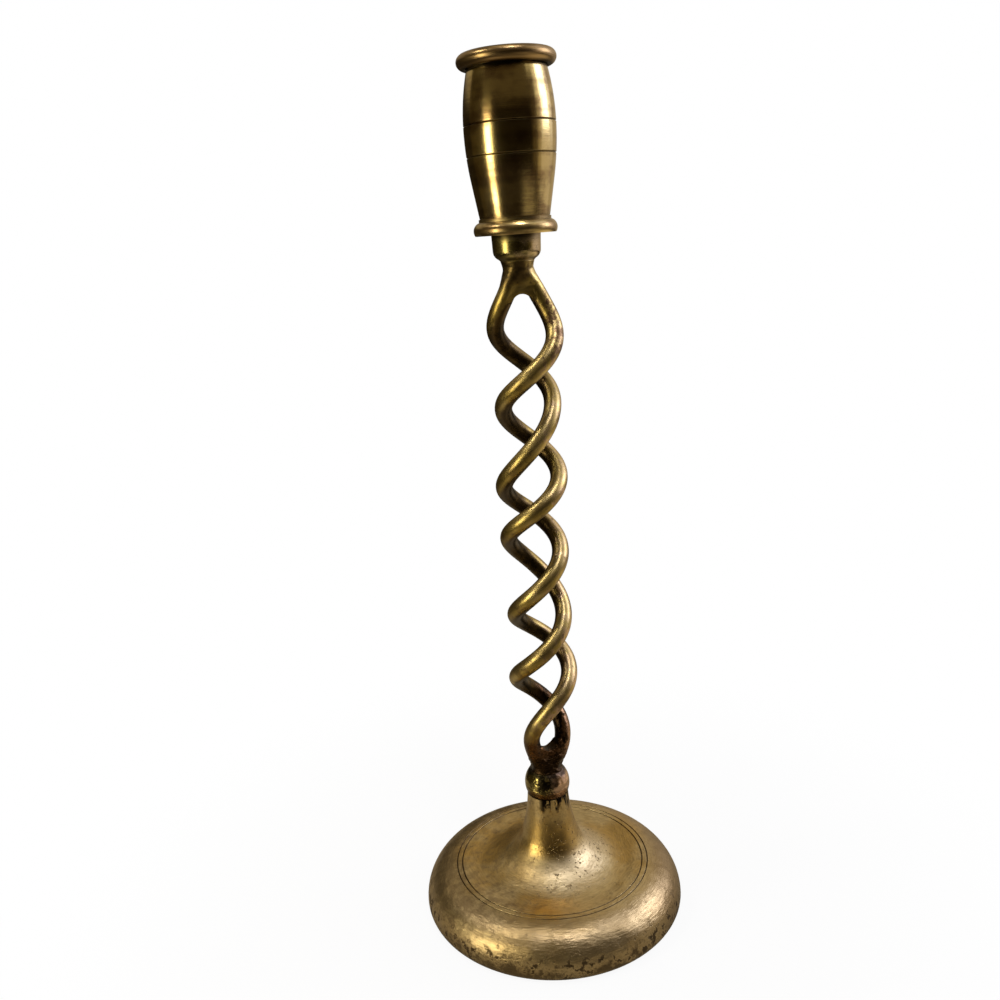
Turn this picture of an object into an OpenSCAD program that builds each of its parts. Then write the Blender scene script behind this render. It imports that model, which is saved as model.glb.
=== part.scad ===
// Barley twist candlestick: a turned brass foot and socket, joined by an open twist of two brass rods.
// Millimetres, +Z up. The origin is the centre of the foot on the table.

/* [Foot] */
// Largest radius of the foot, at its bulging rim
foot_r = 48.8; // [40:0.1:60]
// Height of the foot's flat top above the table
foot_top_h = 17; // [14:0.1:24]
// Height of the rim's widest place, from which it turns in to the table
foot_edge_h = 3.9; // [2.5:0.1:5]
// Width of the flat ring that the foot stands on
foot_rest_w = 2.4; // [1.5:0.1:5]
// Thickness of the casting
foot_wall = 2.6; // [1.8:0.1:3.5]
// How far the flat top is dished between the neck and the scored rings
foot_dish = 0.6; // [0:0.1:1.2]
// Height of the trumpet neck's top above the table
foot_neck_h = 45.8; // [42:0.1:60]
// Radius of the neck at its top
foot_neck_r = 7.6; // [7:0.1:9]
// Radius at which the flat top starts to rise into the neck
foot_flare_x = 28; // [27:0.1:31]
// Radius of the neck's sweep up from the flat top
foot_flare_r = 18; // [16:0.1:19]
// Radius of the slower sweep above it, up to the neck's top
neck_sweep_r = 60; // [50:1:80]
// Height of the seat inside the foot that the washer bears on
nut_seat_h = 27; // [24:0.1:29]
// Radius of the outer scored ring on the flat top
ring_outer_r = 36.5; // [33.5:0.1:38]
// Distance from the outer scored ring to the inner one
ring_gap = 2; // [1.2:0.1:4]

/* [Lower knop] */
// Radius of the ball between the foot and the twist
ball_r = 8.4; // [7.5:0.1:9]
// Height of the ball's centre above the foot's neck
ball_rise = 4; // [3:0.1:5]
// Height of the knop above the foot's neck
lower_knop_h = 11.2; // [10.5:0.1:14]
// Radius of the waist above the ball
lower_waist_r = 5.4; // [5:0.1:6]

/* [Twist] */
// Length of the twist between the waists of the two knops
twist_l = 181.8; // [120:0.1:260]
// Radius of each rod
rod_r = 3; // [2.6:0.05:3.5]
// Radius of the circle that the middles of the rods wind on
twist_r = 9; // [8:0.1:12]
// Length of one turn
turn_l = 49.3; // [40:0.1:80]
// Angle of the twist at the lower waist
twist_start = 181.7; // [0:0.1:360]
// Mean angle between the two rods, seen from above
rod_spacing = 167; // [155:1:180]
// How far that angle swings either way in the hand-wound twist
spacing_swing = 28.6; // [0:0.1:35]
// How many times it swings to and fro along the twist
spacing_waves = 1.62; // [0:0.01:3]
// Where in its swing that angle starts, at the lower waist
spacing_phase = -27; // [-45:1:90]
// How far the winding radius swells and shrinks
radius_swing = 1.2; // [0:0.1:1.5]
// How many times it swells and shrinks along the twist
radius_waves = 3.15; // [0:0.01:5]
// How much wider the top loop of the twist swells
upper_swell = 2.6; // [0:0.1:3]
// Length below the upper waist over which it swells
upper_swell_l = 49; // [30:1:60]
// Length over which the twist opens from the lower waist
lower_opening_l = 20; // [18:1:40]
// Length over which the twist opens from the upper waist
upper_opening_l = 31; // [12:1:40]
// Length below the upper waist in which the rods stop turning
upper_ease_l = 40; // [1:1:45]
// Length above the lower waist in which the rods start to turn
lower_ease_l = 30; // [1:1:40]
// How far the twist as a whole stands off the axis of the knops
twist_offset = 0.7; // [0:0.1:1.5]
// Length from each waist over which it moves off that axis
offset_l = 9; // [8:1:20]
// Distance from each waist to the ends of the rods, where the fork takes them
fork_root_l = 4.5; // [4.5:0.1:6]
// Distance from the lower waist to the saddle of its fork, between the rods
lower_web_l = 6.4; // [6:0.1:9]
// Distance from the upper waist to the saddle of its fork
upper_web_l = 7.8; // [7:0.1:9]
// Thickness of the braze between the rods
fork_web_w = 4.2; // [3:0.1:5]
// How much wider than a rod the braze round its end is
fork_cover = 1.12; // [1.12:0.01:1.3]
// How far the saddle reaches past the inner side of each rod
saddle_lap = 1.6; // [1:0.1:2]

/* [Upper knop] */
// Radius of the waist under the cup
upper_waist_r = 4.9; // [4.5:0.1:5.5]
// Radius of the cup at its top
cup_r = 8.1; // [7.5:0.1:9]
// Height of the upper knop from its waist to its top
upper_knop_h = 11.2; // [10:0.1:14]
// Height of the cup's side
cup_side_h = 5; // [4:0.1:5.2]
// How much the cup narrows down its side
cup_draft = 0.2; // [0:0.1:0.5]
// Radius of the cup's lower corner and of the cove under it
cup_corner_r = 3.1; // [2.5:0.1:3.3]

/* [Candle socket] */
// Height of the socket from its seat to the top of its rim
socket_h = 55; // [45:0.1:70]
// Largest radius of the barrel
barrel_r = 14.8; // [14:0.1:17]
// Height of the barrel's widest place above the seat
barrel_swell_h = 33; // [28:0.1:38]
// Radius of the barrel's curve below its widest place
barrel_lower_curve_r = 95; // [80:1:140]
// Height above the seat up to which the barrel is a straight taper
barrel_taper_h = 17; // [10:0.1:22]
// Thickness of the barrel's wall at the middle of the rim
rim_wall = 0.9; // [0.6:0.1:2]
// Radius of the flange on which the socket sits
flange_r = 13.7; // [12.5:0.1:16]
// Height of the flange's widest place above the seat
flange_swell_h = 1.6; // [0.5:0.1:2]
// Radius of the flange's rounded edge
flange_round_r = 2.8; // [2:0.1:4]
// Height of the small step between the flange and the barrel
flange_step_h = 0.8; // [0.4:0.1:1.5]
// Radius of that step
flange_step_r = 11.8; // [11.5:0.1:12.5]
// Half the thickness of the rolled rim
rim_bead_r = 2.3; // [1.5:0.1:3]
// Diameter of the hole for the candle
candle_bore_d = 22.4; // [19:0.1:23.5]
// Depth of the hole for the candle
candle_bore_depth = 33; // [20:0.5:36]
// Height of the upper scored line above the seat
line_upper_h = 33.8; // [20:0.1:40]
// Height of the lower scored line above the seat
line_lower_h = 24.3; // [15:0.1:32]

/* [Studs, washer and nut] */
// Radius of the stud on which the socket screws
socket_stud_r = 3; // [2.5:0.1:4]
// Length of that stud above its seat
socket_stud_reach = 9; // [6:0.1:12]
// Space left over the stud's end in the socket
stud_hole_spare = 1; // [0.5:0.1:2]
// Radius of the stud that runs down through the foot
stem_stud_r = 3; // [2.5:0.1:4]
// Depth to which each stud is let into its knop
stud_seat_depth = 7; // [5:0.1:8]
// Thickness of the nut under the foot
nut_h = 5; // [3:0.1:7]
// Width of the nut across its flats
nut_flats = 10; // [9:0.1:12]
// Thickness of the washer
washer_h = 1.2; // [0.8:0.1:2]
// Outer radius of the washer
washer_r = 7; // [6:0.1:8]
// Chamfer on the ends of the studs and on the nut
chamfer = 0.6; // [0.3:0.1:1]
// Length of stud that shows below the nut
stud_end = 1.5; // [0.5:0.1:3]

/* [Clearances and scoring] */
// Gap all round a stud in a threaded hole
thread_gap = 0.05; // [0.02:0.01:0.1]
// Gap all round the stem stud where it passes through the foot and the washer
passing_gap = 0.3; // [0.1:0.05:0.6]
// Depth of every scored line
score_depth = 0.3; // [0.1:0.05:0.5]
// Width of every scored line
score_w = 0.6; // [0.3:0.05:1]

/* [Hidden] */
$fn = 96;

// Heights of the seats, from the table up
lower_waist_z = foot_neck_h + lower_knop_h;
upper_waist_z = lower_waist_z + twist_l;
socket_z = upper_waist_z + upper_knop_h;

// Colours of the metal
brass_pale = [0.62, 0.52, 0.32];
brass_olive = [0.47, 0.39, 0.20];
brass_dark = [0.25, 0.18, 0.10];
steel_grey = [0.45, 0.44, 0.42];

// Places that several parts of the foot share
foot_shoulder_r = foot_top_h - foot_edge_h;
foot_shoulder_x = foot_r - foot_shoulder_r;
foot_rest_x = foot_r - foot_edge_h;
foot_dish_z = foot_top_h - foot_dish;
foot_flare_z = foot_dish_z + foot_flare_r;
neck_sweep_x = foot_neck_r + neck_sweep_r;
neck_sweep_z = foot_flare_z
    + sqrt(pow(neck_sweep_r - foot_flare_r, 2) - pow(neck_sweep_x - foot_flare_x, 2));
ring_inner_r = ring_outer_r - ring_gap;

// Places that several parts of the socket share: the rim's middle, and the barrel's curve from its swell up to it
rim_z = socket_h - rim_bead_r;
barrel_draw_in = barrel_r - candle_bore_d / 2 - rim_wall;
barrel_upper_curve_r = (pow(rim_z - barrel_swell_h, 2) + pow(barrel_draw_in, 2)) / (2 * barrel_draw_in);

// Sides round a rod, and height between the rings of points along it
rod_sides = 16;
ring_h = 1.4;

// Height over which a rod's direction is taken
aim_h = 0.1;

// Sides of the round pieces that a fork is made of, and of the long curves of the barrel and the neck
fork_sides = 32;
long_curve_sides = 360;

// Thickness of the thin sheets that hulls are drawn over
sheet = 0.02;

// Direction, in the plane of the twist, of the middle between the two rods
function middle_angle(z) =
    twist_start + 360 / turn_l * (z - lower_waist_z
    + lower_ease_l * pow(max(0, 1 - (z - lower_waist_z) / lower_ease_l), 2) / 2
    - upper_ease_l * pow(max(0, 1 - (upper_waist_z - z) / upper_ease_l), 2) / 2);

// Share of the twist's length below a height
function twist_share(z) = (z - lower_waist_z) / twist_l;

// Angle between the rods at a height
function spacing(z) = rod_spacing + spacing_swing * sin(360 * spacing_waves * twist_share(z) + spacing_phase);

// Part of the full radius that a rod has won after running a share of its opening length
function opened(share) = sin(90 * min(1, max(0, share)));

// Share of a swell that is won after running a share of its length
function swollen(share) = pow(sin(180 * min(1, max(0, share))), 2);

// Radius on which the rods' middles lie at a height; at each waist their outer sides meet its edge
function winding_r(z) =
    twist_r
    - (twist_r - lower_waist_r + rod_r) * (1 - opened((z - lower_waist_z) / lower_opening_l))
    - (twist_r - upper_waist_r + rod_r) * (1 - opened((upper_waist_z - z) / upper_opening_l))
    + upper_swell * swollen((upper_waist_z - z) / upper_swell_l)
    - radius_swing * sin(360 * radius_waves * twist_share(z)) * sin(180 * twist_share(z));

// How far the middle of the twist stands off the axis at a height
function axis_offset(z) =
    twist_offset * opened((z - lower_waist_z) / offset_l) * opened((upper_waist_z - z) / offset_l);

// Middle of one rod at a height; side is -1 for the first rod and 1 for the second
function rod_middle(side, z) =
    let (angle = middle_angle(z) + side * spacing(z) / 2)
    [axis_offset(z) + winding_r(z) * cos(angle), winding_r(z) * sin(angle), z];

function unit(v) = v / norm(v);

// One ring of points round a rod, square to its run
function rod_ring(side, z) =
    let (
        middle = rod_middle(side, z),
        along = unit(rod_middle(side, z + aim_h / 2) - rod_middle(side, z - aim_h / 2)),
        outward = unit([middle[0], middle[1], 0]),
        across = unit(outward - (outward * along) * along),
        third = cross(along, across)
    )
    [for (i = [0 : rod_sides - 1])
        let (a = 360 * i / rod_sides)
        middle + rod_r * (cos(a) * across + sin(a) * third)];

// Number of the ring of points next below a height
function ring_below(z) = floor((z - lower_waist_z) / ring_h);

// A rod over at least the stretch between two heights, its ends square to its run
module rod_run(side, low, high) {
    first = ring_below(low);
    count = ring_below(high) + 1 - first;
    points = [for (k = [0 : count]) each rod_ring(side, lower_waist_z + (first + k) * ring_h)];
    last = count * rod_sides;
    polyhedron(points, concat(
        [for (k = [0 : count - 1], i = [0 : rod_sides - 1])
            let (a = k * rod_sides + i, b = k * rod_sides + (i + 1) % rod_sides)
            each [[a, a + rod_sides, b], [b, a + rod_sides, b + rod_sides]]],
        [[for (i = [0 : rod_sides - 1]) i]],
        [[for (i = [0 : rod_sides - 1]) last + rod_sides - 1 - i]]
    ));
}

// A rod of the twist between two heights, its ends cut level
module rod(side, low, high) {
    room = twist_r + 2 * rod_r + radius_swing + upper_swell + twist_offset;
    intersection() {
        rod_run(side, low - rod_r, high + rod_r);
        translate([-room, -room, low])
            cube([2 * room, 2 * room, high - low]);
    }
}

// The rod from one fork to the other
module strand(side) {
    rod(side, lower_waist_z + fork_root_l, upper_waist_z - fork_root_l);
}

// The brazed fork between a knop's waist and the two rods; up is 1 above the lower waist, -1 below the upper one
module fork(waist_z, waist_r, web_l, up) {
    root_z = waist_z + up * fork_root_l;
    web_z = waist_z + up * web_l;
    clear_z = web_z + up * rod_r;
    difference() {
        union() {
            hull() {
                translate([0, 0, waist_z + min(0, up * sheet)])
                    cylinder(r = waist_r, h = sheet, $fn = fork_sides);
                for (side = [-1, 1])
                    translate(rod_middle(side, root_z) - [0, 0, max(0, up * sheet)])
                        cylinder(r = rod_r * fork_cover, h = sheet, $fn = fork_sides);
            }
            web(root_z, web_z + up * saddle_lap);
        }
        saddle(web_z, up);
        for (side = [-1, 1])
            rod(side, min(root_z, clear_z), max(root_z, clear_z));
    }
}

// Plate of braze that fills the crotch between the rods
module web(from_z, to_z) {
    hull()
        for (z = [from_z, (from_z + to_z) / 2, to_z], side = [-1, 1])
            translate(rod_middle(side, z))
                cylinder(d = fork_web_w, h = sheet, $fn = fork_sides);
}

// Round notch that leaves the braze in a saddle between the rods
module saddle(web_z, up) {
    first = rod_middle(-1, web_z);
    second = rod_middle(1, web_z);
    gap_r = norm(second - first) / 2 - rod_r + saddle_lap;
    turn = atan2(second[1] - first[1], second[0] - first[0]);
    translate((first + second) / 2 + [0, 0, up * gap_r])
        rotate([0, 0, turn])
            rotate([90, 0, 0])
                cylinder(r = gap_r, h = 4 * rod_r, center = true, $fn = fork_sides);
}

// Cutter for a scored line on a face that looks along +Y in the profile
module score() {
    polygon([
        [-score_w / 2, 0], [0, -score_depth], [score_w / 2, 0],
        [score_w / 2, score_depth], [-score_w / 2, score_depth]
    ]);
}

// Stud along +Z with chamfered ends
module stud(r, l) {
    rotate_extrude()
        polygon([
            [0, 0], [r - chamfer, 0], [r, chamfer],
            [r, l - chamfer], [r - chamfer, l], [0, l]
        ]);
}

// Profile of the foot's outside
module foot_outside() {
    difference() {
        union() {
            polygon([
                [0, 0], [foot_rest_x, 0], [foot_rest_x, foot_edge_h], [foot_shoulder_x, foot_edge_h],
                [foot_shoulder_x, foot_top_h], [ring_inner_r, foot_top_h], [foot_flare_x, foot_dish_z],
                [foot_flare_x, foot_neck_h], [0, foot_neck_h]
            ]);
            translate([foot_rest_x, foot_edge_h])
                circle(r = foot_edge_h);
            intersection() {
                translate([foot_shoulder_x, foot_edge_h])
                    circle(r = foot_shoulder_r);
                translate([foot_shoulder_x, foot_edge_h])
                    square(foot_shoulder_r);
            }
        }
        translate([foot_flare_x, foot_flare_z])
            circle(r = foot_flare_r);
        neck_sweep();
    }
}

// What is turned away above the point where the neck's two sweeps meet
module neck_sweep() {
    meet = neck_sweep_r / (neck_sweep_r - foot_flare_r);
    meet_x = neck_sweep_x + meet * (foot_flare_x - neck_sweep_x);
    meet_z = neck_sweep_z + meet * (foot_flare_z - neck_sweep_z);
    intersection() {
        translate([neck_sweep_x, neck_sweep_z])
            circle(r = neck_sweep_r, $fn = long_curve_sides);
        polygon([
            [foot_flare_x, foot_flare_z], [foot_flare_x, foot_neck_h + foot_wall],
            [0, foot_neck_h + foot_wall], [0, meet_z], [meet_x, meet_z]
        ]);
    }
}

// Profile of the hollow under the foot, open at the table
module foot_hollow() {
    rest_inner_x = foot_rest_x - foot_rest_w;
    ceiling_z = foot_dish_z - foot_wall;
    difference() {
        union() {
            intersection() {
                translate([foot_shoulder_x, foot_edge_h])
                    circle(r = foot_shoulder_r - foot_wall);
                translate([foot_shoulder_x, foot_edge_h])
                    square([rest_inner_x - foot_shoulder_x, foot_shoulder_r]);
            }
            translate([0, -foot_edge_h])
                square([rest_inner_x, 2 * foot_edge_h]);
            square([foot_shoulder_x, ceiling_z]);
            square([foot_flare_x, nut_seat_h]);
        }
        translate([foot_flare_x, foot_flare_z])
            circle(r = foot_flare_r + foot_wall);
    }
}

module foot() {
    color(brass_pale)
        rotate_extrude()
            difference() {
                foot_outside();
                foot_hollow();
                square([stem_stud_r + passing_gap, foot_neck_h + score_depth]);
                translate([ring_outer_r, foot_top_h])
                    score();
                translate([ring_inner_r, foot_top_h])
                    score();
            }
}

module lower_knop() {
    color(brass_dark)
        translate([0, 0, foot_neck_h])
            rotate_extrude()
                difference() {
                    union() {
                        intersection() {
                            translate([0, ball_rise])
                                circle(r = ball_r);
                            square([ball_r, lower_knop_h]);
                        }
                        square([lower_waist_r, lower_knop_h]);
                    }
                    square([stem_stud_r + thread_gap, stud_seat_depth]);
                }
}

module lower_crotch() {
    color(brass_dark)
        fork(lower_waist_z, lower_waist_r, lower_web_l, 1);
}

module strand_a() {
    color(brass_olive)
        strand(-1);
}

module strand_b() {
    color(brass_olive)
        strand(1);
}

module upper_crotch() {
    color(brass_olive)
        fork(upper_waist_z, upper_waist_r, upper_web_l, -1);
}

// Profile of the cup: a drafted side, a round lower corner and a cove down to the waist
module cup_profile() {
    side_x = cup_r - cup_draft;
    side_z = upper_knop_h - cup_side_h;
    corner_x = side_x - cup_corner_r;
    cove_x = upper_waist_r + cup_corner_r;
    cove_z = side_z - sqrt(pow(2 * cup_corner_r, 2) - pow(cove_x - corner_x, 2));
    union() {
        polygon([
            [0, 0], [upper_waist_r, 0], [upper_waist_r, side_z], [side_x, side_z],
            [cup_r, upper_knop_h], [0, upper_knop_h]
        ]);
        translate([corner_x, side_z])
            circle(r = cup_corner_r);
        difference() {
            polygon([[upper_waist_r, cove_z], [cove_x, cove_z], [corner_x, side_z], [upper_waist_r, side_z]]);
            translate([cove_x, cove_z])
                circle(r = cup_corner_r);
        }
    }
}

module upper_knop() {
    color(brass_olive)
        translate([0, 0, upper_waist_z])
            rotate_extrude()
                difference() {
                    cup_profile();
                    translate([0, upper_knop_h - stud_seat_depth])
                        square([socket_stud_r + thread_gap, stud_seat_depth + score_depth]);
                }
}

module socket_stud() {
    color(steel_grey)
        translate([0, 0, socket_z - stud_seat_depth])
            stud(socket_stud_r, stud_seat_depth + socket_stud_reach);
}

// Profile of the socket's outside: flange, step, swelling barrel and rolled rim
module socket_outside() {
    taper_drop = barrel_swell_h - barrel_taper_h;
    taper_x = barrel_r - barrel_lower_curve_r + sqrt(pow(barrel_lower_curve_r, 2) - pow(taper_drop, 2));
    taper_slope = taper_drop / sqrt(pow(barrel_lower_curve_r, 2) - pow(taper_drop, 2));
    step_z = flange_swell_h + flange_round_r;
    square([flange_r - flange_round_r, step_z]);
    intersection() {
        translate([flange_r - flange_round_r, flange_swell_h])
            circle(r = flange_round_r);
        square([flange_r, step_z]);
    }
    square([flange_step_r, step_z + flange_step_h]);
    polygon([[0, 0], [taper_x - taper_slope * barrel_taper_h, 0], [taper_x, barrel_taper_h], [0, barrel_taper_h]]);
    intersection() {
        translate([barrel_r - barrel_lower_curve_r, barrel_swell_h])
            circle(r = barrel_lower_curve_r, $fn = long_curve_sides);
        translate([0, barrel_taper_h])
            square([barrel_r, taper_drop]);
    }
    intersection() {
        translate([barrel_r - barrel_upper_curve_r, barrel_swell_h])
            circle(r = barrel_upper_curve_r, $fn = long_curve_sides);
        translate([0, barrel_swell_h])
            square([barrel_r, rim_z - barrel_swell_h]);
    }
    translate([candle_bore_d / 2 + rim_bead_r, rim_z])
        circle(r = rim_bead_r);
}

// Radius of the barrel at a height above the seat, near its widest place
function barrel_at(h) =
    let (curve_r = h < barrel_swell_h ? barrel_lower_curve_r : barrel_upper_curve_r)
    barrel_r - curve_r + sqrt(pow(curve_r, 2) - pow(h - barrel_swell_h, 2));

module candle_socket() {
    color(brass_olive)
        translate([0, 0, socket_z])
            rotate_extrude()
                difference() {
                    socket_outside();
                    translate([0, socket_h - candle_bore_depth])
                        square([candle_bore_d / 2, candle_bore_depth]);
                    square([socket_stud_r + thread_gap, socket_stud_reach + stud_hole_spare]);
                    for (h = [line_lower_h, line_upper_h])
                        translate([barrel_at(h), h])
                            rotate(-90)
                                score();
                }
}

module stem_stud() {
    low_z = nut_seat_h - washer_h - nut_h - stud_end;
    color(steel_grey)
        translate([0, 0, low_z])
            stud(stem_stud_r, foot_neck_h + stud_seat_depth - low_z);
}

module foot_washer() {
    color(steel_grey)
        translate([0, 0, nut_seat_h - washer_h])
            difference() {
                cylinder(r = washer_r, h = washer_h);
                translate([0, 0, -washer_h])
                    cylinder(r = stem_stud_r + passing_gap, h = 3 * washer_h);
            }
}

module foot_nut() {
    corner_r = nut_flats / 2 / cos(30);
    color(steel_grey)
        translate([0, 0, nut_seat_h - washer_h - nut_h])
            difference() {
                intersection() {
                    cylinder(r = corner_r, h = nut_h, $fn = 6);
                    cylinder(r1 = corner_r - chamfer, r2 = corner_r - chamfer + nut_h, h = nut_h);
                }
                translate([0, 0, -nut_h])
                    cylinder(r = stem_stud_r + thread_gap, h = 3 * nut_h);
            }
}

foot();
lower_knop();
lower_crotch();
strand_a();
strand_b();
upper_crotch();
upper_knop();
socket_stud();
candle_socket();
stem_stud();
foot_washer();
foot_nut();
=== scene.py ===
import math
import bpy
from mathutils import Matrix, Vector, noise


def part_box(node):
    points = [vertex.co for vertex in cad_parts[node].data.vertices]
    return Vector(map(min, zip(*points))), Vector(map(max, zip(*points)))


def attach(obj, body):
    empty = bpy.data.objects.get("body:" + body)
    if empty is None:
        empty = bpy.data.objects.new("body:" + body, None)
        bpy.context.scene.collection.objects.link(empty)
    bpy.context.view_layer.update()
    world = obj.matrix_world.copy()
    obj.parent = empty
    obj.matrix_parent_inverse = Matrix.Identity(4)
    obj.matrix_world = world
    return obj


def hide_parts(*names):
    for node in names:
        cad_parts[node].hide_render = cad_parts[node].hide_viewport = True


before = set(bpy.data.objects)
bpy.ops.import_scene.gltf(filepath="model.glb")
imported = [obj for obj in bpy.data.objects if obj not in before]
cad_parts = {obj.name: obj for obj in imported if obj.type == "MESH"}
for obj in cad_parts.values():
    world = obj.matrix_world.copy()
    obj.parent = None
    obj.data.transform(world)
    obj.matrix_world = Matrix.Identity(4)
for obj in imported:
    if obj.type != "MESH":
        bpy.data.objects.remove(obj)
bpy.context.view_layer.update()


# The camera stands where the phone did that took the photo: a little over a foot away from the
# candlestick, level with the foot of its socket, tilted down at it and leaning slightly to one side.
def add_object(name, data):
    """A new object in the scene, made of its data."""
    made = bpy.data.objects.new(name, data)
    bpy.context.scene.collection.objects.link(made)
    return made


TURN = math.radians(-3.22)
TILT = math.radians(14.99)
LEAN = math.radians(4.12)
CAMERA_PLACE = (0, -0.33243, 0.2508)
ahead = Vector((math.sin(TURN) * math.cos(TILT), math.cos(TURN) * math.cos(TILT), -math.sin(TILT)))
level_right = Vector((math.cos(TURN), -math.sin(TURN), 0))
level_down = ahead.cross(level_right)
right = math.cos(LEAN) * level_right + math.sin(LEAN) * level_down
down = math.cos(LEAN) * level_down - math.sin(LEAN) * level_right
camera = add_object("camera", bpy.data.cameras.new("camera"))
camera.data.sensor_width = 36
camera.data.lens = 35.43
camera.data.shift_x = 0.0225
camera.data.shift_y = -0.0014
camera.data.clip_start = 0.01
camera.matrix_world = Matrix.Translation(CAMERA_PLACE) @ Matrix((right, -down, -ahead)).transposed().to_4x4()
bpy.context.scene.camera = camera
bpy.context.scene.view_settings.view_transform = "Standard"


# The room is a white sweep in a dim workshop. Cards that the camera doesn't see hang round it, and
# put the photographer, the walls, the window and the table into the polished brass.
class Wire:
    """The output of a node. Sums that are written with it add the Math nodes that work them out."""

    def __init__(self, tree, socket=None):
        self.tree = tree
        self.socket = socket

    def node(self, kind, settings, sockets, out=None):
        """Adds a node: its settings first, then the values or the wires of its sockets."""
        made = self.tree.nodes.new("ShaderNode" + kind)
        for name, value in settings.items():
            setattr(made, name, value)
        plugs = {plug.identifier: plug for plug in made.inputs}
        for name, value in sockets.items():
            if isinstance(value, Wire):
                self.tree.links.new(value.socket, plugs[name])
            else:
                plugs[name].default_value = value
        ends = {end.identifier: end for end in made.outputs}
        return Wire(self.tree, ends[out] if out else next(iter(made.outputs), None))

    def maths(self, operation, first, second=0.0):
        """A Math node that works on one value or two."""
        return self.node("Math", {"operation": operation}, {"Value": first, "Value_001": second})

    def __add__(self, other):
        return self.maths("ADD", self, other)

    def __radd__(self, other):
        return self.maths("ADD", other, self)

    def __sub__(self, other):
        return self.maths("SUBTRACT", self, other)

    def __rsub__(self, other):
        return self.maths("SUBTRACT", other, self)

    def __mul__(self, other):
        return self.maths("MULTIPLY", self, other)

    def __rmul__(self, other):
        return self.maths("MULTIPLY", other, self)

    def __truediv__(self, other):
        return self.maths("DIVIDE", self, other)

    def __abs__(self):
        return self.maths("ABSOLUTE", self)

    def __or__(self, other):
        """The larger of the two, which joins two masks."""
        return self.maths("MAXIMUM", self, other)


def step(value, low, high):
    """0 at low and 1 at high, with a smooth change between them. Low may be the larger of the two."""
    return value.node("MapRange", {"interpolation_type": "SMOOTHSTEP"},
                      {"Value": value, "From Min": low, "From Max": high})


def over(mask, under, top):
    """One colour laid over another where the mask says."""
    return mask.node("Mix", {"data_type": "RGBA"},
                     {"Factor_Float": mask, "A_Color": under, "B_Color": top}, "Result_Color")


def vectors(operation, first, second=(0, 0, 0), out="Vector"):
    """What a Vector Math node makes of one place or two."""
    return first.node("VectorMath", {"operation": operation}, {"Vector": first, "Vector_001": second}, out)


def along(place, axis):
    """The place along one axis."""
    return place.node("SeparateXYZ", {}, {"Vector": place}, axis)


def level(place):
    """The place without its height."""
    return vectors("MULTIPLY", place, (1, 1, 0))


def from_axis(place):
    """Distance from the candlestick's axis."""
    return vectors("LENGTH", level(place), out="Value")


def studio_cloth(name):
    """A new material without a shader, and the wire of the place on its piece."""
    cloth = bpy.data.materials.new(name)
    cloth.use_nodes = True
    cloth.node_tree.nodes.clear()
    return cloth, Wire(cloth.node_tree).node("TexCoord", {}, {}, "Object")


def seen_directly(wire):
    """1 for what the camera sees, by itself, in metal or through glass; otherwise 0."""
    rays = ("Is Camera Ray", "Is Glossy Ray", "Is Transmission Ray")
    by_eye, in_metal, through_glass = (wire.node("LightPath", {}, {}, ray) for ray in rays)
    return by_eye | in_metal | through_glass


def mesh_piece(name, points, faces):
    """A new object from its points and faces."""
    mesh = bpy.data.meshes.new(name)
    mesh.from_pydata(points, [], faces)
    mesh.update()
    return add_object(name, mesh)


RING_SIDES = 48


def ring(radius, height):
    """Points of a level ring round the candlestick's axis."""
    angles = [math.tau * i / RING_SIDES for i in range(RING_SIDES)]
    return [(radius * math.cos(angle), radius * math.sin(angle), height) for angle in angles]


def disc(name, radius, height):
    """A level disc round the candlestick's axis."""
    return mesh_piece(name, ring(radius, height), [tuple(range(RING_SIDES))])


floor = disc("floor", radius=3.0, height=0)
cloth, place = studio_cloth("pale floor")
white_share = 0.93 + 0.07 * step(from_axis(place), 0.07, 0.22)
paint = place.node("BsdfDiffuse", {}, {"Color": (0.8, 0.8, 0.8, 1)})
glow = place.node("Emission", {}, {"Color": (1, 1, 1, 1), "Strength": 1.0})
lit = place.node("MixShader", {},
                 {"Fac": seen_directly(place) * white_share, "Shader": paint, "Shader_001": glow})
place.node("OutputMaterial", {}, {"Surface": lit})
floor.data.materials.append(cloth)

world = bpy.data.worlds.new("white sweep")
bpy.context.scene.world = world
world.use_nodes = True
world.node_tree.nodes.clear()
start = Wire(world.node_tree)
around = start.node("Background", {}, {"Color": (1.0, 0.96, 0.9, 1), "Strength": 0.45})
white = start.node("Background", {}, {"Color": (1, 1, 1, 1), "Strength": 1.0})
mixed = start.node("MixShader", {}, {"Fac": seen_directly(start), "Shader": around, "Shader_001": white})
start.node("OutputWorld", {}, {"Surface": mixed})

CARD_R = 1.2
CARD_TOP = 1.9
TABLE_R = 1.19


def hang_card(piece, mask, shade, other_shade):
    """Makes a piece a card that shows only in metal: in one shade where its mask is 0, and in the other
    where it is 1."""
    piece.visible_camera = False
    piece.visible_diffuse = False
    piece.visible_shadow = False
    cloth, place = studio_cloth(piece.name)
    felt = place.node("Emission", {}, {"Color": over(mask(place), (*shade, 1), (*other_shade, 1))})
    place.node("OutputMaterial", {}, {"Surface": felt})
    piece.data.materials.append(cloth)


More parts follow.
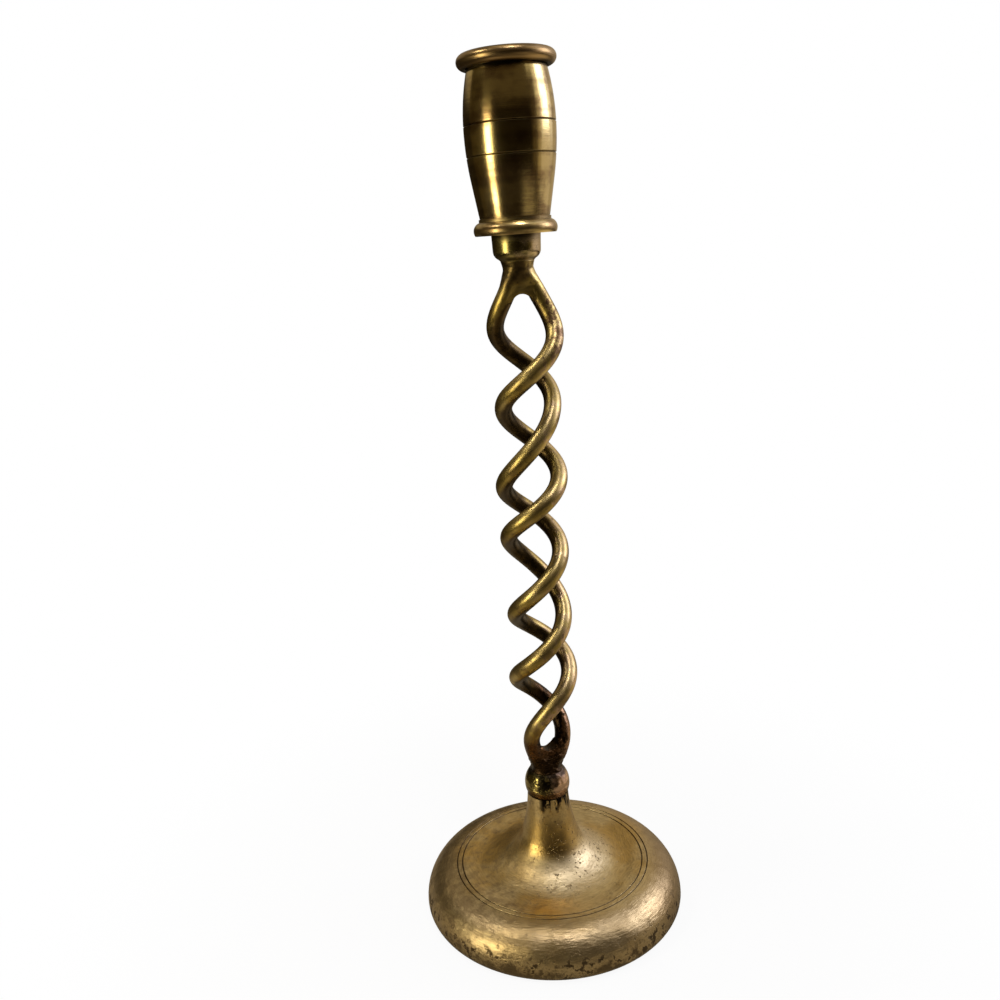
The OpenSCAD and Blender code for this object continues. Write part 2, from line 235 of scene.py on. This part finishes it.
def card(name, from_angle, to_angle, lower_shade, upper_shade, change_height=0.5):
    """A curved card round the candlestick, between two angles counted from the camera's side to the right."""
    strips, half_change = 24, 0.12
    points = []
    for i in range(strips + 1):
        angle = math.radians(from_angle + (to_angle - from_angle) * i / strips)
        points += [(CARD_R * math.sin(angle), -CARD_R * math.cos(angle), z) for z in (0, CARD_TOP)]
    piece = mesh_piece(name, points, [(2 * i, 2 * i + 2, 2 * i + 3, 2 * i + 1) for i in range(strips)])
    low, high = change_height - half_change, change_height + half_change
    hang_card(piece, lambda place: step(along(place, "Z"), low, high), lower_shade, upper_shade)


card("photographer", -43, 57, (0.012, 0.008, 0.003), (0.09, 0.068, 0.036), 0.62)
card("lit wall on the left", -68, -43, (0.85, 0.74, 0.42), (0.09, 0.07, 0.035), 0.56)
card("dark wall on the left", -113, -68, (0.06, 0.044, 0.018), (0.10, 0.08, 0.045), 0.9)
card("dark corner behind on the left", -178, -113, (0.025, 0.018, 0.009), (0.40, 0.34, 0.24), 0.6)
card("edge of the window", 57, 72, (0.09, 0.065, 0.03), (0.80, 0.74, 0.60), 0.95)
card("curtain", 72, 82, (0.42, 0.34, 0.22), (0.90, 0.84, 0.72), 0.5)
card("window", 82, 128, (0.72, 0.64, 0.58), (1.32, 1.30, 1.50), 0.34)
card("wall behind on the right", 128, 182, (0.50, 0.42, 0.30), (0.66, 0.57, 0.42))


def patch_of_light(place, middle, size):
    """1 in a round patch on the table, fading to 0 at its size."""
    return step(from_axis(vectors("SUBTRACT", place, middle)), size, size * 0.4)


def table_light(place):
    """Light on the table: the window's on its right half, and a little close to the foot and in front."""
    in_front = step(from_axis(place), 0.75, 0.3) * step(along(place, "X"), -0.35, -0.05)
    close = step(from_axis(place), 0.30, 0.10)
    before_foot = patch_of_light(place, (-0.12, -0.087, 0), 0.085)
    from_window = patch_of_light(place, (0.38, 0.12, 0), 0.36)
    nearer = patch_of_light(place, (0.52, -0.40, 0), 0.46)
    return 0.13 * in_front | 0.34 * close | 0.9 * before_foot | from_window | 0.42 * nearer


hang_card(disc("table", TABLE_R, 0.0004), table_light, (0.03, 0.022, 0.013), (1.0, 0.86, 0.62))
hang_card(disc("ceiling", TABLE_R, CARD_TOP), lambda place: step(from_axis(place), 0.75, 0.25),
          (0.12, 0.10, 0.07), (1.0, 0.9, 0.68))


def lamp(name, angle, height, distance, width, length, power, colour):
    """A soft box at an angle to the right of the camera's side, facing the middle of the candlestick."""
    middle = Vector((0, 0, 0.15))
    light = bpy.data.lights.new(name, "AREA")
    light.shape = "RECTANGLE"
    light.size = width
    light.size_y = length
    light.energy = power
    light.color = colour
    piece = add_object(name, light)
    a = math.radians(angle)
    piece.location = (distance * math.sin(a), -distance * math.cos(a), height)
    piece.rotation_euler = (middle - piece.location).to_track_quat("-Z", "Y").to_euler()


lamp("left strip", angle=-56, height=0.20, distance=0.62, width=0.17, length=0.37,
     power=1.5, colour=(1.0, 0.93, 0.70))
lamp("right window", angle=100, height=0.60, distance=1.0, width=0.45, length=0.5,
     power=3.0, colour=(0.94, 0.96, 1.2))
lamp("ceiling on the left", angle=-76, height=0.98, distance=0.65, width=0.2, length=0.2,
     power=2.2, colour=(1.0, 0.95, 0.85))
lamp("ceiling on the right", angle=25, height=1.25, distance=0.45, width=0.18, length=0.18,
     power=3.4, colour=(0.97, 0.96, 1.1))

# The foot is a hollow brass casting, turned all over on its outside: a bulging rim, a flat top with
# two scored rings, and a trumpet neck. The brass is worn pale and satin, with golden tarnish.
PALE_BRASS = (0.60, 0.465, 0.235, 1)
NECK_HIGHLIGHT_BRASS = (0.74, 0.62, 0.38, 1)
GOLD_BRASS = (0.48, 0.315, 0.10, 1)
GREY_BRASS = (0.50, 0.375, 0.20, 1)
BROWN_BRASS = (0.26, 0.18, 0.09, 1)
GRIME_AND_SHADE = (0.045, 0.028, 0.013, 1)
BLACK_CRUST = (0.006, 0.004, 0.003, 1)
OUTER_RING_R = 0.0365
INNER_RING_R = 0.0345
RING_WIDTH = 0.0004


def metal(name):
    """A new material of bare metal: its shader, and the wire of the place on the piece."""
    material = bpy.data.materials.new(name)
    material.use_nodes = True
    shader = material.node_tree.nodes["Principled BSDF"]
    shader.inputs["Metallic"].default_value = 1
    shader.inputs["Specular IOR Level"].default_value = 0.2
    place = Wire(material.node_tree).node("TexCoord", {}, {}, "Object")
    return material, shader, place


def connect(shader, **wires):
    """Joins wires to the shader's sockets, whose names are written with a low line for a space."""
    for name, wire in wires.items():
        wire.tree.links.new(wire.socket, shader.inputs[name.replace("_", " ")])


def dress(names, material):
    """Gives CAD nodes their material."""
    for name in names:
        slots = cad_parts[name].data.materials
        slots.clear()
        slots.append(material)


def clouds(place, size, detail=2.0, rough=0.55):
    """Uneven patches of about the given size in metres, from 0 to 1."""
    return place.node("TexNoise", {},
                      {"Vector": place, "Scale": 1 / size, "Detail": detail, "Roughness": rough})


def frayed(value, pattern, reach):
    """A value moved up and down by a pattern, so that the edge of a mask made from it is uneven."""
    return value + (pattern - 0.5) * reach


def outward(place):
    """The direction away from the candlestick's axis."""
    return vectors("NORMALIZE", level(place))


def round_marks(place, width, turns, drift=0.0):
    """Fine marks round the axis, as turning and rubbing leave: their width, how often they start anew on the
    way round, and how far they drift off their circle."""
    wander = (clouds(place, 0.016, 0.0) - 0.5) * (drift / width)
    run = place.node("CombineXYZ", {}, {"Z": along(place, "Z") / width + wander})
    run = vectors("ADD", vectors("MULTIPLY", outward(place), (turns, turns, 0)), run)
    return place.node("TexNoise", {"noise_dimensions": "4D"},
                      {"Vector": run, "W": from_axis(place) / width + wander, "Scale": 1.0, "Detail": 2.0})


def line_at(value, middle, width):
    """1 within a width round a middle, fading to 0 just outside."""
    return 1 - step(abs(value - middle), width * 0.3, width * 0.7)


def bumps(height, depth):
    """A normal from a height that runs from 0 to 1, over a depth in metres."""
    return height.node("Bump", {}, {"Strength": 1.0, "Distance": depth, "Height": height})


material, shader, place = metal("worn foot brass")
height = along(place, "Z")
radius = from_axis(place)
to_right = along(place, "X")
marks = round_marks(place, 0.0006, 9.0, 0.008)
rubbed = round_marks(place, 0.0022, 5.0, 0.016)
dents = clouds(place, 0.009, 1.0)
patches = clouds(place, 0.022, 3.0)
mottle = clouds(place, 0.0032, 4.0, 0.65)
speckle = clouds(place, 0.0009, 3.0)
on_neck = step(radius, 0.021, 0.014)
neck_base = step(radius, 0.027, 0.019) * step(radius, 0.0115, 0.014)
near_neck = step(radius, 0.030, 0.018) * step(height, 0.044, 0.03) * step(to_right, -0.012, 0.004)
tone = over(step(patches, 0.38, 0.62), GOLD_BRASS, PALE_BRASS)
tone = over(step(radius, 0.034, 0.041) * 0.75, tone, GREY_BRASS)
# A paler tone on the right of the neck's base: painted highlight.
tone = over(neck_base * step(to_right, -0.020, 0.006) * 0.75, tone, NECK_HIGHLIGHT_BRASS)
tone = over(step(marks, 0.40, 0.68) * 0.35, tone, BROWN_BRASS)
# Brown over the right of the rim: painted shade that dims it there.
tone = over(step(frayed(to_right, mottle, 0.01), 0.032, 0.044) * 0.8, tone, BROWN_BRASS)
tone = over(step(frayed(mottle, patches, 0.5) - to_right * 4, 0.52, 0.74) * 0.6, tone, BROWN_BRASS)
rings = line_at(radius, OUTER_RING_R, RING_WIDTH) | line_at(radius, INNER_RING_R, RING_WIDTH)
pits = step(speckle, 0.57, 0.63) * step(mottle + near_neck * 0.07, 0.55, 0.60) * (0.25 + 0.75 * near_neck)
# Dark along the bottom of the rim, with a mottled edge: painted shade where the rim turns under, and dark
# grime.
low_rim_shade = step(frayed(frayed(height, mottle, 0.03), patches, 0.02), 0.0075, 0.001)
spots = step(frayed(mottle, patches, 0.3), 0.54, 0.61) * step(height, 0.0135, 0.0070)
drips = step(clouds(vectors("MULTIPLY", place, (1, 1, 0.3)), 0.0022, 2.0), 0.43, 0.51)
front = step(along(place, "Y"), 0.002, -0.003) * step(to_right, -0.0045, -0.002)
crust = step(frayed(height, mottle, 0.012), 0.0395, 0.0435) * drips * front
# Grime in the rings, pits and spots, with the painted shade along the bottom of the rim.
dirt_and_shade = rings * 0.8 | pits * 0.8 | low_rim_shade * 0.75 | spots * 0.85
wear = marks * 0.4 + rubbed * 0.7 + mottle * 0.5 - pits * 0.3
relief = wear * (1 - 0.8 * on_neck) + dents * 2.5 - dirt_and_shade * 0.3 + crust
dulled = 0.10 * patches + 0.08 * marks + 0.2 * (dirt_and_shade | crust) + 0.08 * neck_base
connect(shader, Base_Color=over(crust, over(dirt_and_shade, tone, GRIME_AND_SHADE), BLACK_CRUST),
        Roughness=0.30 + dulled - 0.06 * step(radius, 0.013, 0.011), Normal=bumps(relief, 0.00024))
shader.inputs["Anisotropic"].default_value = 0.3
dress(["foot"], material)

# The stem is drawn onto the foot from below by a steel stud, a washer and a hexagon nut. They are
# plain mild steel, dull and a little rusty, and only the studs and the nut are threaded.
BARE_STEEL = (0.36, 0.35, 0.33, 1)
RUST = (0.16, 0.075, 0.035, 1)
THREAD_PITCH = 0.001
material, shader, place = metal("dull steel")
rust = step(clouds(place, 0.004, 3.0), 0.52, 0.68)
connect(shader, Base_Color=over(rust, BARE_STEEL, RUST), Metallic=1 - 0.7 * rust, Roughness=0.42 + 0.3 * rust,
        Normal=bumps(clouds(place, 0.0006, 2.0), 0.00004))
dress(["foot_washer", "foot_nut"], material)

material, shader, place = metal("threaded steel")
turn = place.maths("ARCTAN2", along(place, "Y"), along(place, "X")) / math.tau
winding = along(place, "Z") / THREAD_PITCH - turn
thread = winding.maths("PINGPONG", winding, 0.5) * 2
rust = step(clouds(place, 0.004, 3.0), 0.52, 0.68) * (1 - thread)
connect(shader, Base_Color=over(rust, BARE_STEEL, RUST), Metallic=1 - 0.6 * rust, Roughness=0.38 + 0.3 * rust,
        Normal=bumps(thread, 0.0004))
dress(["stem_stud", "socket_stud"], material)

# The lower knop is a turned ball between the foot and the twist. It was brazed there, and has kept
# a black crust of burnt flux down its front, olive brass to its left and copper red to its right.
OLIVE_BRASS = (0.33, 0.26, 0.085, 1)
PINK_COPPER = (0.53, 0.35, 0.23, 1)
RED_BROWN = (0.085, 0.038, 0.016, 1)
material, shader, place = metal("burnt knop brass")
height = along(place, "Z")
mottle = clouds(place, 0.0022, 4.0, 0.65)
lumps = clouds(place, 0.0035, 1.0)
fine = clouds(place, 0.0007, 3.0)
side = frayed(along(place, "X"), mottle, 0.006)
# Olive on the left, copper red on the right: a heat tint, made paler on the right as painted light.
tone = over(step(side, -0.001, 0.003), OLIVE_BRASS, PINK_COPPER)
tone = over(step(frayed(height, mottle, 0.005), 0.0505, 0.0475) * 0.9, tone, RED_BROWN)
streak = step(side, -0.0046, -0.0026) * step(side, 0.0030, 0.0010) * step(along(place, "Y"), 0.003, -0.002)
streak = streak * step(frayed(height, fine, 0.008), 0.0475, 0.0505) * step(mottle + fine * 0.5, 0.62, 0.72)
seam = 1 - step(height, 0.0459, 0.0467)
# Black blotches, thinned out on the upper right so that it stays pale there: painted light.
blotches = step(mottle, 0.56, 0.66) * (1 - 0.6 * step(side, 0.001, 0.003) * step(height, 0.0495, 0.0510))
under_fork = step(frayed(height, mottle, 0.004), 0.0535, 0.0550)
crust = streak * 0.97 | seam * 0.9 | blotches * 0.85 | under_fork * 0.9
ridges = round_marks(place, 0.0009, 1.5) * (0.2 + step(height, 0.0505, 0.0485))
relief = lumps * 1.3 + fine * 0.06 + mottle * 0.22 + ridges * 0.9
connect(shader, Base_Color=over(crust, tone, BLACK_CRUST), Roughness=0.13 + 0.10 * mottle + 0.2 * crust,
        Normal=bumps(relief, 0.0005))
dress(["lower_knop"], material)

# The two rods of the barley twist were bent hot round each other, like a vine. They are 6 mm brass,
# coppery where they were heated, with painted highlight on top and painted shade on the inner undersides.
ROD = 0.0030
TURN_LENGTH = 0.0493
START_ANGLE = 181.7  # degrees
LOW_EASE = 0.030
HIGH_EASE = 0.040
SPACING = 167  # degrees
SPACING_SWING = 28.6  # degrees
SPACING_WAVES = 1.62
SPACING_PHASE = -27  # degrees
WINDING = 0.0090
WINDING_SWING = 0.0012
WINDING_WAVES = 3.15
LOW_WAIST_R = 0.0054
LOW_OPENING = 0.020
HIGH_WAIST_R = 0.0049
HIGH_OPENING = 0.031
TOP_LOOP = 0.049
TOP_SWELL = 0.0026
OFF_AXIS = 0.0007
OFF_AXIS_EASE = 0.009
FORK_ROOT = 0.0045
INTO_FORK = 0.001
low_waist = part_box("lower_crotch")[0][2]
high_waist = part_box("upper_crotch")[1][2]


def share_up(z):
    """Share of the way up the twist."""
    return (z - low_waist) / (high_waist - low_waist)


def opened(share):
    """How far a rod has swung out of a fork, from 0 to 1, at a share of the way."""
    return math.sin(math.pi / 2 * min(1.0, max(0.0, share)))


def middle_angle(z):
    """Direction of the middle between the rods, which turn less and less towards each end."""
    low_part = LOW_EASE * max(0.0, 1 - (z - low_waist) / LOW_EASE) ** 2 / 2
    high_part = HIGH_EASE * max(0.0, 1 - (high_waist - z) / HIGH_EASE) ** 2 / 2
    return math.radians(START_ANGLE) + math.tau * (z - low_waist + low_part - high_part) / TURN_LENGTH


def spacing(z):
    """Angle between the rods, which the hand-wound twist lets swing."""
    wave = math.sin(math.tau * SPACING_WAVES * share_up(z) + math.radians(SPACING_PHASE))
    return math.radians(SPACING + SPACING_SWING * wave)


def winding_r(z):
    """Radius that the rods' middles wind on: drawn in to each waist, and wider in the top loop."""
    top_share = min(1.0, max(0.0, (high_waist - z) / TOP_LOOP))
    waves = math.sin(math.tau * WINDING_WAVES * share_up(z)) * math.sin(math.pi * share_up(z))
    return (WINDING
            - (WINDING - LOW_WAIST_R + ROD) * (1 - opened((z - low_waist) / LOW_OPENING))
            - (WINDING - HIGH_WAIST_R + ROD) * (1 - opened((high_waist - z) / HIGH_OPENING))
            + TOP_SWELL * math.sin(math.pi * top_share) ** 2 - WINDING_SWING * waves)


def off_axis(z):
    """How far the twist stands to the right of the axis, between its ends."""
    return OFF_AXIS * opened((z - low_waist) / OFF_AXIS_EASE) * opened((high_waist - z) / OFF_AXIS_EASE)


def rod_middle(side, z):
    """A point on the middle of a rod: the first for a side of -1, the second for 1."""
    angle = middle_angle(z) + side * spacing(z) / 2
    return Vector((off_axis(z) + winding_r(z) * math.cos(angle), winding_r(z) * math.sin(angle), z))


def tube_faces(rings, sides):
    """Faces of a closed tube, whose points lie in one ring after the other."""
    faces = []
    for k in range(rings - 1):
        for i in range(sides):
            j = (i + 1) % sides
            faces.append((k * sides + i, k * sides + j, (k + 1) * sides + j, (k + 1) * sides + i))
    return faces + [tuple(range(sides))[::-1], tuple((rings - 1) * sides + i for i in range(sides))]


def rod_mesh(share, from_z, to_z, from_size=1.0, to_size=1.0):
    """Points and faces of a rod between two heights, hand-forged and so never quite even: the first rod
    for a share of 0, the second for 1, and between them what fills a fork."""
    sides, ring_gap = 40, 0.0007
    unevenness, dents_per_metre = 0.012, 140
    count = round(abs(to_z - from_z) / ring_gap)
    points = []
    for k in range(count + 1):
        z = from_z + (to_z - from_z) * k / count
        middle, next_middle = (rod_middle(-1, h).lerp(rod_middle(1, h), share) for h in (z, z + ring_gap / 8))
        run = (next_middle - middle).normalized()
        apart = (rod_middle(1, z) - rod_middle(-1, z)).normalized()
        across = (apart - apart.dot(run) * run).normalized()
        third = run.cross(across)
        dent = unevenness * noise.noise(middle * dents_per_metre)
        size = ROD * (from_size + (to_size - from_size) * k / count) * (1 + dent)
        for i in range(sides):
            a = math.tau * i / sides
            points.append(middle + size * (math.cos(a) * across + math.sin(a) * third))
    faces = tube_faces(count + 1, sides)
    if to_z < from_z:
        faces = [face[::-1] for face in faces]
    return points, faces


ROD_OLIVE = (0.34, 0.243, 0.062, 1)
ROD_WEAR_AND_HIGHLIGHT = (0.62, 0.48, 0.20, 1)
ROD_BROWN = (0.17, 0.11, 0.042, 1)
COPPER = (0.38, 0.225, 0.125, 1)
DARK_BRASS = (0.075, 0.048, 0.019, 1)
DEEP_GRIME_AND_SHADE = (0.014, 0.009, 0.004, 1)


def rod_finish(name):
    """Aged brass of the rods and forks: golden olive with pink copper spots, with painted highlight on the
    tops and painted shade on the inner undersides and under the cup, scorched on the right of the top loop,
    and burnt red-brown with a black ridged crust down at the lower fork."""
    material, shader, place = metal(name)
    height = along(place, "Z")
    to_right = along(place, "X")
    facing = place.node("NewGeometry", {}, {}, "Normal")
    upward = along(facing, "Z")
    inward = 0 - vectors("DOT_PRODUCT", facing, outward(place), "Value")
    patches = clouds(place, 0.012, 3.0)
    mottle = clouds(place, 0.0026, 4.0, 0.65)
    fine = clouds(place, 0.0006, 2.0)
    tone = over(step(patches, 0.46, 0.72) * 0.7, ROD_OLIVE, ROD_WEAR_AND_HIGHLIGHT)
    heated = patches * 0.5 + mottle * 0.9 + to_right * 18 - height * 1.1
    tone = over(step(heated, 0.62, 0.80) * 0.85, tone, PINK_COPPER)
    tone = over(step(clouds(place, 0.0075, 4.0, 0.6), 0.49, 0.60) * 0.7, tone, ROD_BROWN)
    # Paler where the rod faces up: painted highlight.
    tone = over(step(upward - inward * 0.5, 0.3, 1.0) * 0.5, tone, ROD_WEAR_AND_HIGHLIGHT)
    # Dark brass on the inner undersides: painted shade.
    inner_side = frayed(inward * 0.95 - upward * 0.9, mottle, 0.9)
    tone = over(step(inner_side, -0.38, 0.3) * 0.96, tone, DARK_BRASS)
    scorched = step(height, 0.2050, 0.2150) * step(frayed(to_right, mottle, 0.012), 0.0075, 0.0105)
    tone = over(scorched * step(mottle, 0.44, 0.56) * 0.85, tone, RED_BROWN)
    # Dark brass just under the cup, left open on the right: painted shade under the cup.
    under_cup_shade = step(frayed(height, mottle, 0.004), 0.2315, 0.2365)
    under_cup_shade = under_cup_shade * step(frayed(to_right, mottle, 0.008), 0.004, 0.001)
    tone = over(under_cup_shade * 0.85, tone, DARK_BRASS)
    burnt = step(frayed(height, patches, 0.008) - to_right * 0.25 - along(place, "Y") * 1.6, 0.0815, 0.0725)
    burnt = burnt | step(frayed(height, mottle, 0.005), 0.0740, 0.0680)
    tone = over(burnt * 0.96, tone, RED_BROWN)
    tone = over(burnt * step(frayed(to_right, mottle, 0.005), 0.004, 0.008) * 0.6, tone, COPPER)
    soot = burnt * 0.9 * step(mottle + fine * 0.3 + inward * 0.15, 0.56, 0.72)
    at_waist = step(frayed(height, mottle, 0.004), 0.0635, 0.0600)
    # Darker still deep on the inner undersides: painted shade, with dirt spots and soot.
    inner_underside_shade = step(frayed(inward - upward * 0.4, mottle, 2.2), 0.55, 1.1)
    dirt_and_shade = step(mottle, 0.60, 0.70) * 0.6 | soot | at_waist * 0.8 | inner_underside_shade * 0.75
    ridges = round_marks(place, 0.0007, 2.0, 0.002) * step(height, 0.069, 0.062)
    relief = fine * 0.06 + mottle * (0.08 + 1.1 * burnt) + patches * 0.3 + ridges * 1.6
    connect(shader, Base_Color=over(dirt_and_shade, tone, DEEP_GRIME_AND_SHADE), Roughness=0.33 + 0.08 * patches - 0.12 * burnt,
            Normal=bumps(relief, 0.0003))
    return material


rod_brass = rod_finish("rod brass")
rods_from = low_waist + FORK_ROOT - INTO_FORK
rods_to = high_waist - FORK_ROOT + INTO_FORK
for name, share in (("strand_a", 0), ("strand_b", 1)):
    strand = mesh_piece("rod_" + name[-1], *rod_mesh(share, rods_from, rods_to))
    strand.data.shade_smooth()
    strand.data.materials.append(rod_brass)
    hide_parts(name)
    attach(strand, "stand")

# The forks gather both rods into a knop's waist. They were built up with brazing rod, so their
# corners are soft: the upper one was filed smooth, the lower one is still rough and black with flux.
ROOT_START = 0.0004
ROOT_REACH = 0.0165
ROOT_SIZES = (1.06, 0.87)  # at its start and at its reach, as shares of the rod
BRAZE_SHARES = (0.15, 0.3, 0.45, 0.55, 0.7, 0.85)  # of the way from one rod to the other
BRAZE_SIZES = (0.98, 0.9)
BRAZE_CLIMB = 0.0035  # how much farther the braze reaches beside a rod than halfway
SKIRT_REACH = 0.0008
ABOVE_WEB = 0.0025  # where the gap between the rods gives the arch its width
VOXEL = 0.00024
LUMPY_LENGTH = 0.013
LUMPS_PER_METRE = 450


def fork_build_up(node, waist_z, waist_r, up, web, skirt):
    """Points and faces of all that a fork is melted from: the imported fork, the roots of its rods, the braze
    between them as far as the web reaches, and a skirt that runs over the knop."""
    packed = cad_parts[node].data
    parts = [([v.co.copy() for v in packed.vertices], [tuple(p.vertices) for p in packed.polygons])]
    root_z = waist_z + up * ROOT_START
    for share in (0, 1):
        parts.append(rod_mesh(share, root_z, waist_z + up * ROOT_REACH, *ROOT_SIZES))
    for share in BRAZE_SHARES:
        reach = web + BRAZE_CLIMB * abs(2 * share - 1)
        parts.append(rod_mesh(share, root_z, waist_z + up * reach, *BRAZE_SIZES))
    skirt_points = []
    for rise, more in (*skirt, (SKIRT_REACH, 0)):
        skirt_points += ring(waist_r + more, waist_z + up * rise)
    skirt_faces = tube_faces(len(skirt) + 1, RING_SIDES)
    parts.append((skirt_points, [face[::up] for face in skirt_faces]))
    points, faces = [], []
    for some_points, some_faces in parts:
        faces += [tuple(len(points) + i for i in face) for face in some_faces]
        points += some_points
    return points, faces


def round_arch(mesh, waist_z, up, web):
    """Pushes what fills the opening over the web out to a round arch between the rods."""
    first, second = (rod_middle(side, waist_z + up * (web + ABOVE_WEB)) for side in (-1, 1))
    apart = (second - first).normalized()
    arch_r = (second - first).length / 2 - ROD
    arch_place = (first + second) / 2
    arch_place.z = waist_z + up * (web + arch_r)
    for v in mesh.vertices:
        sideways = (v.co - arch_place).dot(apart)
        rise = v.co.z - arch_place.z
        reach = math.hypot(sideways, rise)
        if reach < arch_r and abs(v.co.z - waist_z) < web + arch_r:
            v.co += (arch_r / max(reach, 0.0001) - 1) * (sideways * apart + Vector((0, 0, rise)))


def with_modifiers(piece):
    """A new mesh of a piece, with its modifiers applied."""
    return bpy.data.meshes.new_from_object(piece.evaluated_get(bpy.context.evaluated_depsgraph_get()))


def fork_piece(name, node, waist_z, waist_r, up, web, skirt, lump_depth):
    """A fork melted into one soft form, with a round arch over its web and lumps near its waist. It opens
    upwards for an up of 1, and downwards for -1."""
    rough = mesh_piece("rough " + name, *fork_build_up(node, waist_z, waist_r, up, web, skirt))
    melt = rough.modifiers.new("melt", "REMESH")
    melt.mode = "VOXEL"
    melt.voxel_size = VOXEL
    melted = with_modifiers(rough)
    rough.modifiers.clear()
    round_arch(melted, waist_z, up, web)
    rough.data = melted
    soften = rough.modifiers.new("soften", "SMOOTH")
    soften.factor = 0.5
    soften.iterations = 60
    melted = with_modifiers(rough)
    bpy.data.objects.remove(rough)
    normals = [v.normal.copy() for v in melted.vertices]
    for v, normal in zip(melted.vertices, normals):
        near_waist = max(0.0, 1 - abs(v.co.z - waist_z) / LUMPY_LENGTH)
        lump = noise.noise(Vector((v.co.x, v.co.y, 2 * v.co.z)) * LUMPS_PER_METRE)
        v.co += normal * lump_depth * near_waist * lump
    melted.name = name
    piece = add_object(name, melted)
    melted.shade_smooth()
    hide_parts(node)
    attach(piece, "stand")
    return piece


lower_fork = fork_piece("lower_fork", "lower_crotch", low_waist, LOW_WAIST_R, up=1, web=0.0068,
                        skirt=((-0.0016, 0.0012), (-0.0004, 0.0002)), lump_depth=0.0003)
lower_fork.data.materials.append(rod_finish("burnt braze"))

upper_fork = fork_piece("upper_fork", "upper_crotch", high_waist, HIGH_WAIST_R, up=-1, web=0.0078,
                        skirt=((-0.0030, 0.0010), (-0.0022, 0.0005), (-0.0010, 0.0002)), lump_depth=0.00012)
upper_fork.data.materials.append(rod_brass)

# The upper knop is a turned cup that carries the candle socket. Its side is handled little, so it
# keeps an olive tarnish, painted paler on its right as light, with painted shade in the corner under
# the socket and in the cove.
material, shader, place = metal("cup brass")
height = along(place, "Z")
to_right = along(place, "X")
mottle = clouds(place, 0.003, 4.0, 0.6)
marks = round_marks(place, 0.0005, 2.0)
# Olive tarnish with paler grey patches, which cover the right side: painted light there.
tone = over(step(mottle + to_right * 40, 0.45, 0.7), OLIVE_BRASS, GREY_BRASS)
# Dark under the socket and in the cove at the bottom of the cup: painted shade, with dark dirt spots.
shade_under_socket = step(frayed(height, mottle, 0.002), 0.2465, 0.2500)
shaded_cove = step(frayed(height, mottle, 0.003), 0.2448, 0.2425)
dirt_and_shade = shade_under_socket * 0.93 | shaded_cove * 0.5 | step(mottle, 0.60, 0.72) * 0.5
# The painted shade gives way on the right: painted light there.
dirt_and_shade = dirt_and_shade * (1 - 0.6 * step(to_right, 0.004, 0.008))
connect(shader, Base_Color=over(dirt_and_shade, tone, DEEP_GRIME_AND_SHADE), Roughness=0.17 + 0.1 * mottle + 0.2 * dirt_and_shade,
        Normal=bumps(marks * 0.4 + mottle * 0.5, 0.00012))
shader.inputs["Anisotropic"].default_value = 0.3
dress(["upper_knop"], material)

# The candle socket is turned from brass bar: a flange, a swelling barrel with two scored lines and a
# rolled rim. It was polished in the lathe, so fine marks run round it, and its bore is dull and sooty.
SOCKET_BRASS = (0.58, 0.44, 0.18, 1)
UMBER_BRASS = (0.28, 0.180, 0.075, 1)
UPPER_LINE = 0.0338
LOWER_LINE = 0.0243
LINE_WIDTH = 0.0006
BORE_R = 0.0112
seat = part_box("candle_socket")[0][2]
material, shader, place = metal("polished socket brass")
height = along(place, "Z") - seat
radius = from_axis(place)
marks = round_marks(place, 0.00035, 1.2)
bands = round_marks(place, 0.0028, 0.8)
patches = clouds(place, 0.009, 3.0)
fine = clouds(place, 0.0008, 2.0)
on_rim = step(height, 0.0495, 0.0510)
tone = over(step(frayed(patches, bands, 0.6), 0.40, 0.68), SOCKET_BRASS, UMBER_BRASS)
# The rolled rim darker umber: painted shade.
tone = over(on_rim * 0.95, tone, UMBER_BRASS)
lines = line_at(height, UPPER_LINE, LINE_WIDTH) | line_at(height, LOWER_LINE, LINE_WIDTH)
# Black just under the rim: painted shadow.
shadow_under_rim = step(frayed(height, patches, 0.004), 0.0488, 0.0505) * step(radius, 0.0152, 0.0138)
on_flange = step(height, 0.0066, 0.0050) * step(radius, 0.0132, 0.0120)
inside = step(radius, BORE_R + 0.00015, BORE_R) * step(height, 0.012, 0.02)
# Grime in the scored lines, at the flange and in the bore, with the painted shadow under the rim.
dirt_and_shade = lines * 0.6 | shadow_under_rim * 0.97 | on_flange * 0.4 | inside * (0.5 + 0.4 * patches)
satin = on_rim * 1.2 | step(height, 0.0058, 0.0048)
connect(shader, Base_Color=over(dirt_and_shade, tone, DEEP_GRIME_AND_SHADE),
        Roughness=0.10 + 0.12 * satin + 0.06 * marks + 0.08 * patches + 0.2 * dirt_and_shade,
        Normal=bumps(marks * 0.35 + bands * 0.2 + fine * 0.2, 0.00004))
shader.inputs["Anisotropic"].default_value = 0.2
dress(["candle_socket"], material)
